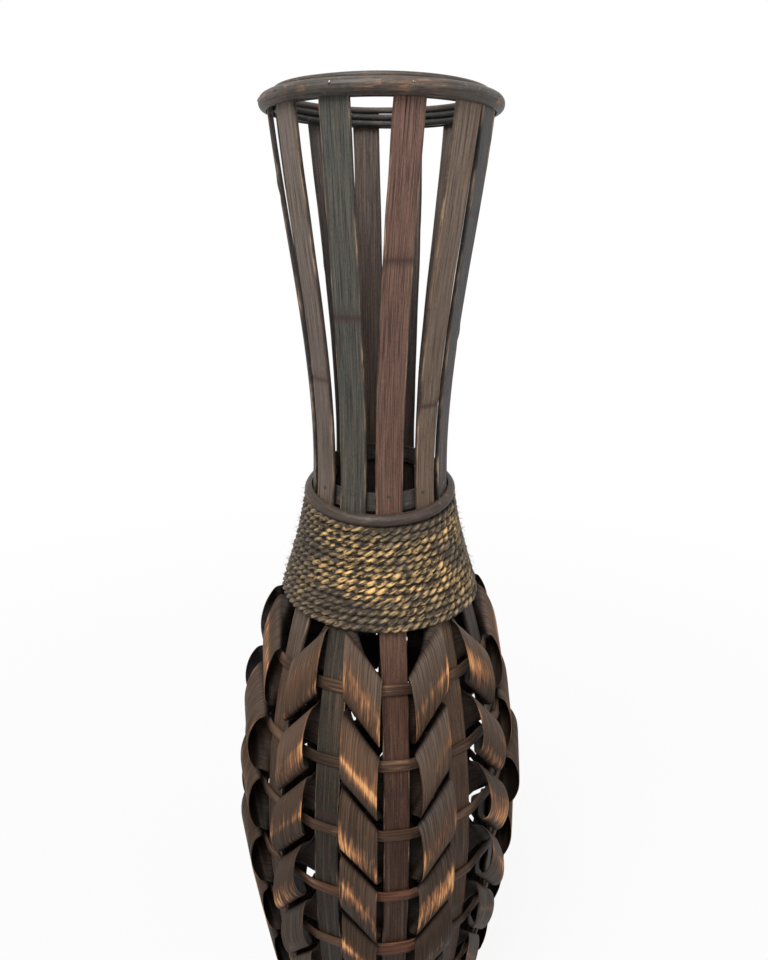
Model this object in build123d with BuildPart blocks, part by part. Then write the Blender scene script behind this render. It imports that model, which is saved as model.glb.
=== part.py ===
# Bamboo floor vase: bent slats between cane hoops, two rope wraps and rows of curled ribbon.
# Millimetres, +Z up, origin on the floor at the middle of the foot, front towards -Y.
import math
import os

from build123d import *

# Slats, bent strips that run from the floor to the rim
slat_count = 12
slat_width = 18.0
slat_thickness = 3.0
first_slat_azimuth = 8.0  # degrees from the front towards +X

# Radius of the slats' outer face at the heights that give the vase its outline
slat_top = 758.6
rim_radius = 69.2
flare_height = 671.0
flare_radius = 58.0
waist_height = 536.0
waist_radius = 45.8
collar_height = 512.0
collar_radius = 46.9
wrap_end_height = 437.0
wrap_end_radius = 66.0
shoulder_height = 398.0
shoulder_radius = 77.5
belly_height = 245.0
belly_radius = 96.3
lower_height = 150.0
lower_radius = 88.5
foot_radius = 70.0

# Half-round cane rings outside the slats
rim_cane_height = 9.0
base_cane_height = 11.1
cane_depth = 4.4
collar_cane_height = 9.5
collar_cane_depth = 4.8
hoop_clearance = 0.2

# Round cane strands stacked inside the rim
strand_count = 3
strand_diameter = 4.0
strand_gap = 0.1
strand_rise = 3.4  # top strand above the slats' ends

# Flat bands inside the slats at the waist and the foot
band_height = 11.0
band_thickness = 2.0
waist_band_height = 520.0  # middle of the band, just above the collar ring

# Base board between the slats' feet
board_thickness = 10.0
floor_gap = 0.3  # foot ring above the floor

# Rope wraps
rope_diameter = 4.8
rope_gap = 0.5  # between neighbouring turns
rope_clearance = 0.3  # between the rope and the slats' corners
rope_seat = 0.5  # between the first turn and the ring beside it
neck_rope_turns = 13.0
base_rope_turns = 15.5

# Woven rows
row_count = 6
weave_top_gap = 0.5  # between the top curls and the rope above them
weave_bottom_gap = 2.5  # between the bottom curls and the rope below them
weaver_height = 7.8
weaver_thickness = 1.8
ribbon_width = 24.5
ribbon_thickness = 1.0
ribbon_clearance = 0.5  # between a ribbon and the slat in front of it
ribbon_end_gap = 1.2  # between the two ends of a ribbon, behind the rear slat
curl_bulge = 13.5  # front of a curl beyond the slats' outer face
curl_fold = 5.0  # folds of a curl beyond the slats' outer face
curl_tip_drop = 1.3  # corner of a fold below the ribbon's edge behind the slat
curl_room = 4.4  # between the weaver hoop and the near end of a fold
curl_front_steps = 6
curl_back_steps = 3
curl_return = 16.0  # run of a fold's near end across the gap before it lies behind the slats
gate_room = 1.4  # between a ribbon's middle and the edge of a slat that it passes

# Nails
nail_radius = 0.8
nail_head_radius = 1.2
nail_head_height = 0.5
nail_head_gap = 0.05  # between a head and the slat under it
nail_grip = 1.5  # depth of a nail's point in the inner piece

outline = [
    (foot_radius, 0),
    (lower_radius, lower_height),
    (belly_radius, belly_height),
    (shoulder_radius, shoulder_height),
    (wrap_end_radius, wrap_end_height),
    (collar_radius, collar_height),
    (waist_radius, waist_height),
    (flare_radius, flare_height),
    (rim_radius, slat_top),
]
slat_step = 360 / slat_count
half_width = slat_width / 2
slat_azimuths = [first_slat_azimuth + slat_step * k for k in range(slat_count)]


def place_on(line, height):
    """Point and upward direction of an outline, (radius, height), where it crosses a height."""
    low = 0.0
    high = 1.0
    for _ in range(40):
        middle = (low + high) / 2
        if (line @ middle).Y < height:
            low = middle
        else:
            high = middle
    return line @ middle, line % middle


# Outer and inner faces of a slat in its own plane: X is the radius and Y the height
slat_outer = Spline(*outline)
inner_outline = []
for radius, height in outline:
    lean = place_on(slat_outer, height)[1].Y
    inner_outline.append((radius - slat_thickness / lean, height))
slat_inner = Spline(*inner_outline)


def slat_reach(height):
    """Radius of the circle through the outer corners of the slats."""
    return math.hypot(place_on(slat_outer, height)[0].X, half_width)


def radial_plane(azimuth):
    """Upright plane through the vase's axis, with X outwards at the azimuth and Y up."""
    angle = math.radians(azimuth - 90)
    outwards = Vector(math.cos(angle), math.sin(angle), 0)
    return Plane(origin=(0, 0, 0), x_dir=outwards, z_dir=outwards.cross(Vector(0, 0, 1)))


def hoop_plane(line, radius, height):
    """Plane of a hoop's section, with Y up along the slat and X square out of it."""
    direction = place_on(line, height)[1]
    return Plane(origin=(radius, 0, height), x_dir=(direction.Y, 0, -direction.X), z_dir=(0, -1, 0))


def outer_hoop_plane(height):
    """Section plane of a hoop that lies on the slats' outer corners."""
    lean = place_on(slat_outer, height)[1].Y
    return hoop_plane(slat_outer, slat_reach(height) + hoop_clearance / lean, height)


def inner_hoop_plane(height):
    """Section plane of a hoop that lies against the slats' inner faces."""
    point, direction = place_on(slat_inner, height)
    return hoop_plane(slat_inner, point.X - hoop_clearance / direction.Y, height)


def ring_reach(plane, height, depth):
    """Outermost radius of a half-round cane hoop, where its nails' heads lie."""
    arc_radius = (height**2 / 4 + depth**2) / (2 * depth)
    return plane.origin.X + (depth - arc_radius) * plane.x_dir.X + arc_radius


def nail_axes(height, azimuths):
    """Places at a height on the vase's axis, turned so that X runs out through each slat."""
    return Locations(*[Location((0, 0, height), (0, 0, azimuth - 90)) for azimuth in azimuths])


def drill(height, azimuths, start, end):
    """Nail holes along the radius, between two radii, in the piece being made."""
    with nail_axes(height, azimuths):
        with Locations(((start + end) / 2, 0, 0)):
            Cylinder(nail_radius, end - start, rotation=(0, 90, 0), mode=Mode.SUBTRACT)


def save(piece, label):
    """Name a finished piece and write it to its own file."""
    piece.part.label = label
    export_step(piece.part, f"parts/{label}.step")


def make_nails(label, height, seat, point):
    """A ring of nails, one through each slat, from the head's seat in to the point."""
    with BuildPart() as nails:
        with nail_axes(height, slat_azimuths):
            with Locations(((seat + point) / 2, 0, 0)):
                Cylinder(nail_radius, seat - point, rotation=(0, 90, 0))
            with Locations((seat + nail_head_height / 2, 0, 0)):
                Cylinder(nail_head_radius, nail_head_height, rotation=(0, 90, 0))
    save(nails, label)


def make_cane_ring(label, plane, height, depth, nail_height=None):
    """Half-round cane hoop with its flat side to the slats, drilled for nails where it has them."""
    with BuildPart() as ring:
        with BuildSketch(plane):
            with BuildLine():
                flat = Line((0, -height / 2), (0, height / 2))
                ThreePointArc(flat @ 1, (depth, 0), flat @ 0)
            make_face()
        revolve(axis=Axis.Z)
        if nail_height is not None:
            drill(nail_height, slat_azimuths, plane.origin.X / 2, plane.origin.X + 2 * depth)
    save(ring, label)


def make_band(label, plane, nail_height=None):
    """Flat hoop inside the slats, drilled for nails where it has them."""
    with BuildPart() as band:
        with BuildSketch(plane):
            Rectangle(band_thickness, band_height, align=(Align.MAX, Align.CENTER))
        revolve(axis=Axis.Z)
        if nail_height is not None:
            drill(nail_height, slat_azimuths, plane.origin.X - nail_grip, plane.origin.X + slat_thickness)
    save(band, label)


os.makedirs("parts", exist_ok=True)

# Heights of the hoops and of their nails
rim_lean = place_on(slat_outer, slat_top)[1].Y
rim_ring_height = slat_top - rim_cane_height / 2 * rim_lean
rim_ring_plane = outer_hoop_plane(rim_ring_height)
strand_step = strand_diameter + strand_gap
top_strand_height = slat_top + strand_rise - strand_diameter / 2
strand_heights = [top_strand_height - strand_step * k for k in range(strand_count)]
strand_plane = inner_hoop_plane(strand_heights[-1])
strand_radius = strand_plane.origin.X - strand_diameter / 2
rim_nail_height = strand_heights[strand_count // 2]

collar_plane = outer_hoop_plane(collar_height)
waist_band_plane = inner_hoop_plane(waist_band_height)
waist_nail_seat = place_on(slat_outer, waist_band_height - nail_head_radius)[0].X + nail_head_gap

foot_lean = place_on(slat_outer, 0)[1].Y
base_ring_height = floor_gap + base_cane_height / 2 * foot_lean
base_ring_plane = outer_hoop_plane(base_ring_height)
base_band_plane = inner_hoop_plane(board_thickness + hoop_clearance + band_height / 2)
board_radius = (slat_inner @ 0).X - hoop_clearance
base_nail_height = base_ring_height

# Slats
for number, azimuth in enumerate(slat_azimuths, 1):
    with BuildPart() as slat:
        with BuildSketch(radial_plane(azimuth)):
            with BuildLine():
                add(slat_outer)
                Line(slat_outer @ 1, slat_inner @ 1)
                add(slat_inner)
                Line(slat_inner @ 0, slat_outer @ 0)
            make_face()
        extrude(amount=half_width, both=True)
        drill(rim_nail_height, [azimuth], rim_radius / 2, rim_radius + slat_thickness)
        drill(waist_band_height, [azimuth], waist_radius / 2, waist_radius + slat_thickness)
        drill(base_nail_height, [azimuth], foot_radius / 2, foot_radius + 2 * slat_thickness)
    save(slat, f"slat_{number:02d}")

# Rim
make_cane_ring("rim_outer_ring", rim_ring_plane, rim_cane_height, cane_depth, rim_nail_height)
for number, height in enumerate(strand_heights, 1):
    with BuildPart() as strand:
        with BuildSketch(Plane.XZ):
            with Locations((strand_radius, height)):
                Circle(strand_diameter / 2)
        revolve(axis=Axis.Z)
        if height == rim_nail_height:
            drill(height, slat_azimuths, strand_plane.origin.X - nail_grip, strand_plane.origin.X + 1)
    save(strand, f"rim_strand_{number}")
make_nails(
    "rim_nails",
    rim_nail_height,
    ring_reach(rim_ring_plane, rim_cane_height, cane_depth),
    strand_plane.origin.X - nail_grip,
)

# Waist
make_cane_ring("collar_ring", collar_plane, collar_cane_height, collar_cane_depth)
make_band("waist_inner_hoop", waist_band_plane, waist_band_height)
make_nails(
    "waist_nails",
    waist_band_height,
    waist_nail_seat,
    waist_band_plane.origin.X - nail_grip,
)

# Foot
make_cane_ring("base_outer_ring", base_ring_plane, base_cane_height, cane_depth, base_nail_height)
make_band("base_inner_hoop", base_band_plane)
with BuildPart() as board:
    with BuildSketch():
        Circle(board_radius)
    extrude(amount=board_thickness)
    drill(base_nail_height, slat_azimuths, board_radius - nail_grip, board_radius + 1)
save(board, "base_board")
make_nails(
    "base_nails",
    base_nail_height,
    ring_reach(base_ring_plane, base_cane_height, cane_depth),
    board_radius - nail_grip,
)

# Rope wraps: quarter turns round the slats, each a pair of arcs that share a tangent
rope_radius = rope_diameter / 2
rope_pitch = rope_diameter + rope_gap
quarter = math.pi / 2


def wrap_points(start, turns, upwards):
    """Middle of the rope at each quarter turn, with one spare point before and after."""
    points = []
    height = start - upwards * rope_pitch / 4 * place_on(slat_outer, start)[1].Y
    for k in range(-1, round(turns * 4) + 2):
        lean = place_on(slat_outer, height)[1].Y
        radius = slat_reach(height) + (rope_clearance + rope_radius) / lean
        points.append((radius, quarter * k, height))
        height += upwards * rope_pitch / 4 * lean
    return points


def wrap_tangent(before, here, after):
    """Direction of the spiral at a point, from the points a quarter turn before and after it."""
    growth = (after[0] - before[0]) / (2 * quarter)
    climb = (after[2] - before[2]) / (2 * quarter)
    radius, turn, _ = here
    across = Vector(-math.sin(turn), math.cos(turn), 0) * radius
    outwards = Vector(math.cos(turn), math.sin(turn), 0) * growth
    return (across + outwards + Vector(0, 0, climb)).normalized()


def biarc_middle(start, start_tangent, end, end_tangent):
    """Where two arcs of equal tangent length meet between two points with given tangents."""
    chord = end - start
    both = start_tangent + end_tangent
    spread = 2 * (1 - start_tangent.dot(end_tangent))
    reach = chord.dot(both)
    length = (math.sqrt(reach**2 + spread * chord.dot(chord)) - reach) / spread
    return (start + end + (start_tangent - end_tangent) * length) / 2


def make_rope(label, start, turns, upwards):
    """One unbroken rope wound round the slats, a short straight run at each end; gives its last height."""
    spiral = wrap_points(start, turns, upwards)
    places = [Vector(r * math.cos(turn), r * math.sin(turn), z) for r, turn, z in spiral]
    tangents = [wrap_tangent(*spiral[k - 1 : k + 2]) for k in range(1, len(spiral) - 1)]
    places = places[1:-1]
    with BuildPart() as rope:
        with BuildLine() as path:
            Line(places[0] - tangents[0] * rope_diameter, places[0])
            for k in range(len(places) - 1):
                middle = biarc_middle(places[k], tangents[k], places[k + 1], tangents[k + 1])
                first = TangentArc(places[k], middle, tangent=tangents[k])
                TangentArc(middle, places[k + 1], tangent=first % 1)
            Line(places[-1], places[-1] + tangents[-1] * rope_diameter)
        with BuildSketch(path.line ^ 0):
            Circle(rope_radius)
        sweep()
    samples = round(turns * 24)
    per_turn = samples / (turns + rope_diameter / (math.pi * spiral[0][0]))
    middles = [path.line @ (k / samples) for k in range(samples + 1)]
    near = min(
        (middles[k] - middles[other]).length
        for k in range(samples + 1)
        for other in range(k + round(per_turn / 2), samples + 1)
    )
    print(f"{label}: least gap to itself {near - rope_diameter:.2f} mm")
    save(rope, label)
    return spiral[-2][2]


collar_lean = place_on(slat_outer, collar_height)[1].Y
neck_start = collar_height - collar_cane_height / 2 * collar_lean - rope_seat - rope_radius
neck_end = make_rope("neck_rope", neck_start, neck_rope_turns, -1)
base_start = base_ring_height + base_cane_height / 2 + rope_seat + rope_radius
base_end = make_rope("base_rope", base_start, base_rope_turns, 1)

# Woven rows share the height between the two rope wraps
weave_top = neck_end - rope_radius - weave_top_gap
weave_bottom = base_end + rope_radius + weave_bottom_gap
row_pitch = (weave_top - weave_bottom - ribbon_width) / row_count
top_row = weave_top - ribbon_width / 2 - row_pitch / 2
row_heights = [top_row - row_pitch * k for k in range(row_count)]
print(f"rows: top {top_row:.1f} mm, pitch {row_pitch:.1f} mm")

half_ribbon = ribbon_width / 2
half_step = math.radians(slat_step / 2)
behind = -(slat_thickness + ribbon_clearance + ribbon_thickness / 2)


def curl_edge():
    """One edge of a curl, from the slat where the ribbon runs high to the one where it runs low.

    A spot is an angle from the gap's middle as a share of the way to the slat's middle, and
    millimetres across from there, up along the slats and out from their faces.
    """
    high = row_pitch / 2 + half_ribbon
    low = row_pitch / 2 - half_ribbon
    tip = high - curl_tip_drop
    near_end = -(weaver_height / 2 + curl_room)
    pass_by = -(half_width + gate_room)
    spots = [
        (1, 0, high, behind),
        (1, pass_by, high, behind),
        (1, pass_by, high, behind / 2),
        (1, pass_by, (high + tip) / 2, curl_fold / 3),
    ]
    for k in range(curl_front_steps + 1):
        turn = math.pi * k / curl_front_steps
        up = (tip + near_end) / 2 + (tip - near_end) / 2 * math.cos(turn)
        out = curl_fold + (curl_bulge - curl_fold) * math.sin(turn)
        spots.append((0, half_ribbon, up, out))
    for k in range(1, curl_back_steps + 1):
        share = k / curl_back_steps
        across = half_ribbon - curl_return * share
        up = near_end - (low + near_end) * share
        out = curl_fold + (behind - curl_fold) * math.sin(quarter * share)
        spots.append((0, across, up, out))
    spots.append((-1, 0, -low, behind))
    return spots


def curl_spot(row, middle, hand, spot):
    """Where a spot of a curl lies on the vase, in the gap whose middle is at an azimuth."""
    share, across, up, out = spot
    lean = place_on(slat_outer, row)[1].Y
    point, direction = place_on(slat_outer, row + up * lean)
    radius = point.X + out * direction.Y
    angle = math.radians(middle - 90) + hand * (share * half_step + across / radius)
    return Vector(radius * math.cos(angle), radius * math.sin(angle), point.Y - out * direction.X)


def ribbon_edges(row):
    """Both edges of a ribbon, all the way round from the rear slat, as pairs of points."""
    edge = curl_edge()
    far_edge = [(-share, -across, -up, out) for share, across, up, out in reversed(edge)]
    curl = list(zip(edge, far_edge))
    rear = slat_count // 2
    pairs = []
    for gap in range(rear, rear + slat_count):
        middle = first_slat_azimuth + slat_step * (gap + 0.5)
        falling = gap % 2 == 1
        hand = -1 if falling else 1
        steps = curl if falling else curl[::-1]
        for spot, far_spot in steps[1 if pairs else 0 :]:
            pairs.append((curl_spot(row, middle, hand, spot), curl_spot(row, middle, hand, far_spot)))
    trim = math.degrees(ribbon_end_gap / 2 / pairs[0][0].length)
    pairs[0] = tuple(point.rotate(Axis.Z, trim) for point in pairs[0])
    pairs[-1] = tuple(point.rotate(Axis.Z, -trim) for point in pairs[-1])
    return pairs


def ribbon_sections(pairs):
    """Plane and width of the ribbon at each pair of edge points, X along the pair."""
    last = len(pairs) - 1
    for k, (point, far_point) in enumerate(pairs):
        before = pairs[max(k - 1, 0)]
        after = pairs[min(k + 1, last)]
        along = (after[0] - before[0]).normalized() + (after[1] - before[1]).normalized()
        width = far_point - point
        normal = along.cross(width)
        yield Plane((point + far_point) / 2, x_dir=width, z_dir=width.cross(normal)), width.length


def make_weaver(label, row):
    """Flat hoop round the outside of the slats, inside the curls of its row."""
    with BuildPart() as weaver:
        with BuildSketch(outer_hoop_plane(row)):
            Rectangle(weaver_thickness, weaver_height, align=(Align.MIN, Align.CENTER))
        revolve(axis=Axis.Z)
    save(weaver, label)


def make_ribbon(label, row):
    """Thin strip that runs behind the slats and curls once round the weaver hoop in each gap."""
    with BuildPart() as ribbon:
        for plane, width in ribbon_sections(ribbon_edges(row)):
            with BuildSketch(plane):
                Rectangle(width, ribbon_thickness)
        loft(ruled=True)
    save(ribbon, label)


for number, row in enumerate(row_heights, 1):
    make_weaver(f"weaver_hoop_{number}", row)
    make_ribbon(f"curl_ribbon_{number}", row)
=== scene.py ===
import math
import bpy
import numpy as np
from mathutils import Matrix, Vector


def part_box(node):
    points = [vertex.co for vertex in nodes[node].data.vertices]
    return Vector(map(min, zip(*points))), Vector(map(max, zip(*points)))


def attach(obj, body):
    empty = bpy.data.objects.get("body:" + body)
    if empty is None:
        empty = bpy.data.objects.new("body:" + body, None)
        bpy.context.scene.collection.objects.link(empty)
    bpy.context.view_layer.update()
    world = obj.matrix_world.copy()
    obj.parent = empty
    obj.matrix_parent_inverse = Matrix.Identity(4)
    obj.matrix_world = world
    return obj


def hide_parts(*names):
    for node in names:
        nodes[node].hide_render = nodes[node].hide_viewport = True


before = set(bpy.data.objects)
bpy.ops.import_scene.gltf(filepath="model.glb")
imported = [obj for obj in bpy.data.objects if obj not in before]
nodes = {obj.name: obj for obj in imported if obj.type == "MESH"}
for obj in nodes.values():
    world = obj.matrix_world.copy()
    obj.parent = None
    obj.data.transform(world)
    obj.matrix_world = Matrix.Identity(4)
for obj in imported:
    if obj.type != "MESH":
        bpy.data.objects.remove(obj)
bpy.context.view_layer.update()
print("frame loaded:", len(nodes), "nodes")

# Outline of the slats' outer face: radius at height, in metres
vaseOutline = {
    "radius": (0.070, 0.0885, 0.0963, 0.0775, 0.066, 0.0469, 0.0458, 0.058, 0.0692),
    "height": (0.0, 0.150, 0.245, 0.398, 0.437, 0.512, 0.536, 0.671, 0.7586),
    "samples": 4000,
}
mm = 0.001
fullTurn = 2 * math.pi
sharpAngle = math.radians(50)


def splineThrough(knots, values, dense):
    # cubic between knots with matching slope and bend, end slopes from the four nearest knots
    knots, values = np.asarray(knots, float), np.asarray(values, float)
    step = np.diff(knots)
    rate = np.diff(values) / step
    count = len(knots)
    inner = np.arange(1, count - 1)
    system = np.eye(count)
    system[inner, inner - 1] = step[1:]
    system[inner, inner] = 2 * (step[:-1] + step[1:])
    system[inner, inner + 1] = step[:-1]
    target = np.empty(count)
    target[0] = np.polyfit(knots[:4] - knots[0], values[:4], 3)[2]
    target[-1] = np.polyfit(knots[-4:] - knots[-1], values[-4:], 3)[2]
    target[inner] = 3 * (step[1:] * rate[:-1] + step[:-1] * rate[1:])
    slope = np.linalg.solve(system, target)
    span = np.clip(np.searchsorted(knots, dense) - 1, 0, count - 2)
    s = (dense - knots[span]) / step[span]
    start, end = values[span], values[span + 1]
    startSlope, endSlope = slope[span] * step[span], slope[span + 1] * step[span]
    return (start * (1 + 2 * s) * (1 - s) ** 2 + end * s * s * (3 - 2 * s)
            + startSlope * s * (1 - s) ** 2 + endSlope * s * s * (s - 1))


def lengthAlong(line):
    # distance along a line of points from its first one: sum of the steps so far
    return np.concatenate([[0], np.cumsum(np.linalg.norm(np.diff(line, axis=0), axis=-1))])


outlineKnots = lengthAlong(np.transpose([vaseOutline["radius"], vaseOutline["height"]]))
outlineSteps = np.linspace(0, outlineKnots[-1], vaseOutline["samples"])
outlineRadius = splineThrough(outlineKnots, vaseOutline["radius"], outlineSteps)
outlineHeight = splineThrough(outlineKnots, vaseOutline["height"], outlineSteps)
outlineArc = lengthAlong(np.stack([outlineRadius, outlineHeight], -1))
outlineLean = np.arctan2(np.gradient(outlineRadius), np.gradient(outlineHeight))


def radiusAt(height):
    # radius of the slats' outer face, read off the outline's samples
    return np.interp(height, outlineHeight, outlineRadius)


def leanAt(height):
    # outward lean of the slats from upright in radians, read off the outline's samples
    return np.interp(height, outlineHeight, outlineLean)


def aroundAxis(radius, azimuth, height):
    # spots at a distance from the axis and at a height, with the azimuth from the front towards +X
    return np.stack(np.broadcast_arrays(radius * np.sin(azimuth), -radius * np.cos(azimuth), height), -1)


def onVase(height, out, azimuth):
    # spots on the slats' surface of revolution, lifted square out of it
    lean = leanAt(height)
    return aroundAxis(radiusAt(height) + out * np.cos(lean), azimuth, height - out * np.sin(lean))


def unit(vectors):
    # vectors divided by their lengths
    return vectors / np.linalg.norm(vectors, axis=-1, keepdims=True)


def grainMap(across, along):
    # place of each point across and along the fibres
    return np.stack(np.broadcast_arrays(across, along), -1)


def opaque(tone):
    # colours with a full fourth channel
    return np.concatenate([tone, np.ones(tone.shape[:-1] + (1,))], -1)


def wobble(x, seed, waves=5, low=1.0, high=9.0):
    # smooth unevenness of about unit size: a few sine waves of random length and phase
    draw = np.random.default_rng(seed)
    rates = draw.uniform(low, high, waves)
    phases = draw.uniform(0, fullTurn, waves)
    return np.sin(np.multiply.outer(np.asarray(x), rates * fullTurn) + phases).sum(-1) / math.sqrt(waves)


def hump(x, middle, width):
    # bell of unit height that falls off with the square of the distance over the width
    return np.exp(-((x - middle) / width) ** 2)


def makeGrid(name, points, grain, slotName, replaced, material, loopV=False, **attributes):
    # closed tubes over grids of points, rows along and columns round, ends capped unless they loop
    points = points.reshape(-1, *points.shape[-3:])
    copies, rows, cols = points.shape[:3]
    spans = rows if loopV else rows - 1
    j, i = np.meshgrid(np.arange(spans), np.arange(cols), indexing="ij")
    corners = [(j, i), (j, i + 1), (j + 1, i + 1), (j + 1, i)]
    quads = np.stack([(a % rows) * cols + b % cols for a, b in corners], -1).reshape(-1, 4)
    flat = points.reshape(-1, 3)
    a, b, c, d = (flat[quads[:, k]] for k in range(4))
    outward = np.einsum("ij,ij->i", a + c, np.cross(b - d, a - c)).sum() < 0
    order = [0, 1, 2, 3] if outward else [3, 2, 1, 0]
    start = (np.arange(copies) * rows * cols)[:, None, None]
    faces = (quads[:, order] + start).reshape(-1, 4).tolist()
    uv = np.stack([grain[np.minimum(a, grain.shape[0] - 1), b] for a, b in corners], 2).reshape(-1, 4, 2)
    uv = np.tile(uv[:, order].reshape(-1, 2), (copies, 1))
    if not loopV:
        caps = np.stack([np.arange(cols)[::-1], np.arange(cols) + (rows - 1) * cols])
        caps = caps if outward else caps[:, ::-1]
        faces += (caps + start).reshape(-1, cols).tolist()
        uv = np.concatenate([uv, np.tile(grain[0, 0], (2 * copies * cols, 1))])
    mesh = bpy.data.meshes.new(name)
    mesh.from_pydata(flat.tolist(), [], faces)
    mesh.uv_layers.new(name="grain").data.foreach_set("uv", uv.astype(np.float32).ravel())
    for key, values in attributes.items():
        color = np.shape(values)[-1] == 4 and np.ndim(values) == 3
        shape = points.shape[:3] + ((4,) if color else ())
        values = np.ascontiguousarray(np.broadcast_to(np.asarray(values, np.float32), shape))
        kind, field = ("FLOAT_COLOR", "color") if color else ("FLOAT", "value")
        mesh.attributes.new(key, kind, "POINT").data.foreach_set(field, values.ravel())
    mesh.polygons.foreach_set("use_smooth", np.ones(len(mesh.polygons), bool))
    mesh.set_sharp_from_angle(angle=sharpAngle)
    mesh.materials.append(material)
    piece = bpy.data.objects.new(name, mesh)
    bpy.context.scene.collection.objects.link(piece)
    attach(piece, "root")
    if replaced:
        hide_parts(*replaced)
    return piece


def newMaterial(name, roughness, **constants):
    # node material whose constants stand on the shader's own sockets
    material = bpy.data.materials.new(name)
    material.use_nodes = True
    tree = material.node_tree
    shader = tree.nodes["Principled BSDF"]
    shader.inputs["Roughness"].default_value = roughness
    for key, value in constants.items():
        shader.inputs[key].default_value = value
    return material, tree, shader


def addNode(tree, kind, inputs, **properties):
    # shader node: an input that is a socket is linked, any other value is set
    node = tree.nodes.new("ShaderNode" + kind)
    for key, value in properties.items():
        setattr(node, key, value)
    for key, value in inputs.items():
        if isinstance(value, bpy.types.NodeSocket):
            tree.links.new(value, node.inputs[key])
        else:
            node.inputs[key].default_value = value
    return node


def grainCoords(tree, across, along):
    # the piece's own grain map, times a scale across and along the fibres
    uv = addNode(tree, "UVMap", {}, uv_map="grain").outputs["UV"]
    return addNode(tree, "Mapping", {"Vector": uv, "Scale": (across, along, 1)}).outputs["Vector"]


def objectCoords(tree, scale=(1, 1, 1)):
    # the object's own coordinates, times a scale
    place = addNode(tree, "TexCoord", {}).outputs["Object"]
    return addNode(tree, "Mapping", {"Vector": place, "Scale": scale}).outputs["Vector"]


def attribute(tree, name, output="Fac"):
    # value kept on the mesh's points
    return addNode(tree, "Attribute", {}, attribute_name=name).outputs[output]


def noise(tree, vector, scale, detail=3.0, roughness=0.55, distortion=0.0):
    # fractal noise as a grey value about a half
    return addNode(tree, "TexNoise", {"Vector": vector, "Scale": scale, "Detail": detail,
                                      "Roughness": roughness, "Distortion": distortion}).outputs["Fac"]


def ramp(tree, factor, *stops):
    # stops are (position, value) with a grey value or a colour
    node = addNode(tree, "ValToRGB", {"Fac": factor})
    elements = node.color_ramp.elements
    while len(elements) < len(stops):
        elements.new(0.5)
    for element, (position, value) in zip(elements, stops):
        element.position = position
        element.color = (*value, 1) if isinstance(value, tuple) else (value, value, value, 1)
    return node.outputs["Color"]


def fadeIn(tree, factor, low, high, most=1.0):
    # none below low, then straight up to most at high
    return ramp(tree, factor, (low, 0.0), (high, most))


def blendColor(tree, factor, first, second, mode="MIX"):
    # first colour turned into second, or into their product, by a factor
    node = tree.nodes.new("ShaderNodeMix")
    node.data_type, node.blend_type = "RGBA", mode
    for index, value in ((0, factor), (6, first), (7, second)):
        if isinstance(value, bpy.types.NodeSocket):
            tree.links.new(value, node.inputs[index])
        else:
            node.inputs[index].default_value = (*value, 1) if isinstance(value, tuple) else value
    return node.outputs[2]


def compute(tree, operation, first, second=0.0, clamp=False):
    # one operation on two values
    return addNode(tree, "Math", {0: first, 1: second}, operation=operation, use_clamp=clamp).outputs[0]


def addBump(tree, shader, height, strength, distance):
    # normal tilted by the slope of a height
    bump = addNode(tree, "Bump", {"Height": height, "Strength": strength, "Distance": distance})
    tree.links.new(bump.outputs["Normal"], shader.inputs["Normal"])


def connect(tree, shader, **sockets):
    # sockets linked to the shader's inputs of the same names
    for key, socket in sockets.items():
        tree.links.new(socket, shader.inputs[key.replace("_", " ")])


slatFinish = {
    "poreTint": (0.26, 0.23, 0.23), "paleStreak": (0.30, 0.20, 0.13), "redCloud": (0.13, 0.05, 0.03),
    "dust": (0.30, 0.23, 0.19), "scuff": (0.38, 0.24, 0.15), "wornEdge": (0.50, 0.34, 0.21),
    "jointCrease": (0.04, 0.018, 0.016),
}


def stainedSlat():
    # stain colour attribute, which also carries painted light and shade by height, on the edges and on the
    # end under the rim, streaked along the fibres, with dark pores and pale gold where the edges are rubbed
    finish = slatFinish
    material, tree, shader = newMaterial("stainedSlat", 0.5, **{"Specular IOR Level": 0.27})
    fibre = noise(tree, grainCoords(tree, 1700, 26), 1.0, 4.0, 0.65)
    streak = noise(tree, grainCoords(tree, 420, 7), 1.0, 3.0)
    cloud = noise(tree, grainCoords(tree, 60, 9), 1.0, 3.0)
    scuff = noise(tree, grainCoords(tree, 2600, 60), 1.0, 3.0, 0.6)
    speck = noise(tree, grainCoords(tree, 1500, 420), 1.0, 3.0, 0.7)
    # colour attribute: the slat's stain together with painted light and shade
    stain = attribute(tree, "stain", "Color")
    dark = blendColor(tree, 1.0, stain, finish["poreTint"], "MULTIPLY")
    light = blendColor(tree, 0.5, stain, finish["paleStreak"])
    color = blendColor(tree, fadeIn(tree, fibre, 0.38, 0.58), dark, stain)
    color = blendColor(tree, fadeIn(tree, streak, 0.52, 0.76, 0.5), color, light)
    color = blendColor(tree, fadeIn(tree, cloud, 0.58, 0.78, 0.45), color, finish["redCloud"])
    color = blendColor(tree, ramp(tree, speck, (0.30, 0.75), (0.46, 0.0)), color, dark)
    color = blendColor(tree, fadeIn(tree, speck, 0.60, 0.76, 0.30), color, finish["dust"])
    color = blendColor(tree, fadeIn(tree, scuff, 0.66, 0.74, 0.65), color, finish["scuff"])
    worn = compute(tree, "MULTIPLY", attribute(tree, "wear"), fadeIn(tree, scuff, 0.42, 0.58))
    color = blendColor(tree, worn, color, finish["wornEdge"])
    color = blendColor(tree, attribute(tree, "joint"), color, finish["jointCrease"])
    connect(tree, shader, Base_Color=color, Roughness=ramp(tree, fibre, (0.3, 0.66), (0.7, 0.46)))
    addBump(tree, shader, compute(tree, "ADD", fibre, compute(tree, "ADD", streak, scuff)), 0.8, 0.0008)
    return material


caneFinish = {"fibreTint": (0.34, 0.34, 0.36), "speck": (0.21, 0.175, 0.145)}


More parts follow.
